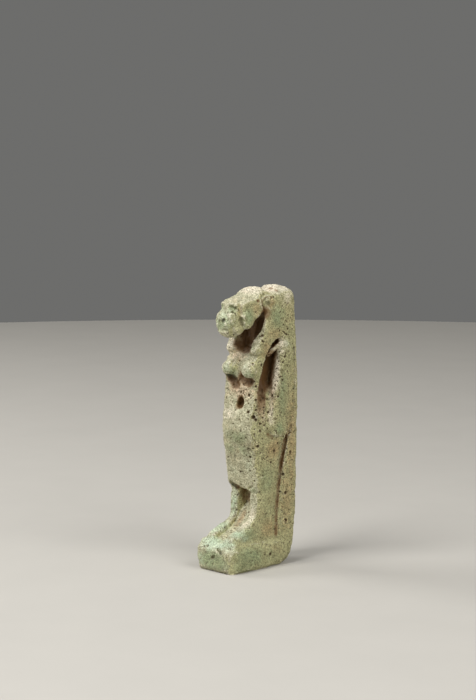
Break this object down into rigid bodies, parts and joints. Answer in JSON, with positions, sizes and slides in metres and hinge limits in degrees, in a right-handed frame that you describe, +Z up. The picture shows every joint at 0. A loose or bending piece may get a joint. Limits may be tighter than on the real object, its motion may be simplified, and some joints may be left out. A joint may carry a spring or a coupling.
{
  "type": "faience figurine",
  "caption": "Standing animal-headed goddess with a back pillar and plinth, moulded in one piece of pale green faience, worn and pitted.",
  "frame": {"origin": "on the underside, below the middle of the plinth", "axes": "+Z up, -Y the way she faces, +X her left side"},
  "size_m": [0.0082, 0.0152, 0.044],
  "materials": {
    "faience": "matt, worn, pale green with tan hollows"
  },
  "bodies": {
    "root": {"faience_figurine": "faience"}
  },
  "joints": []
}
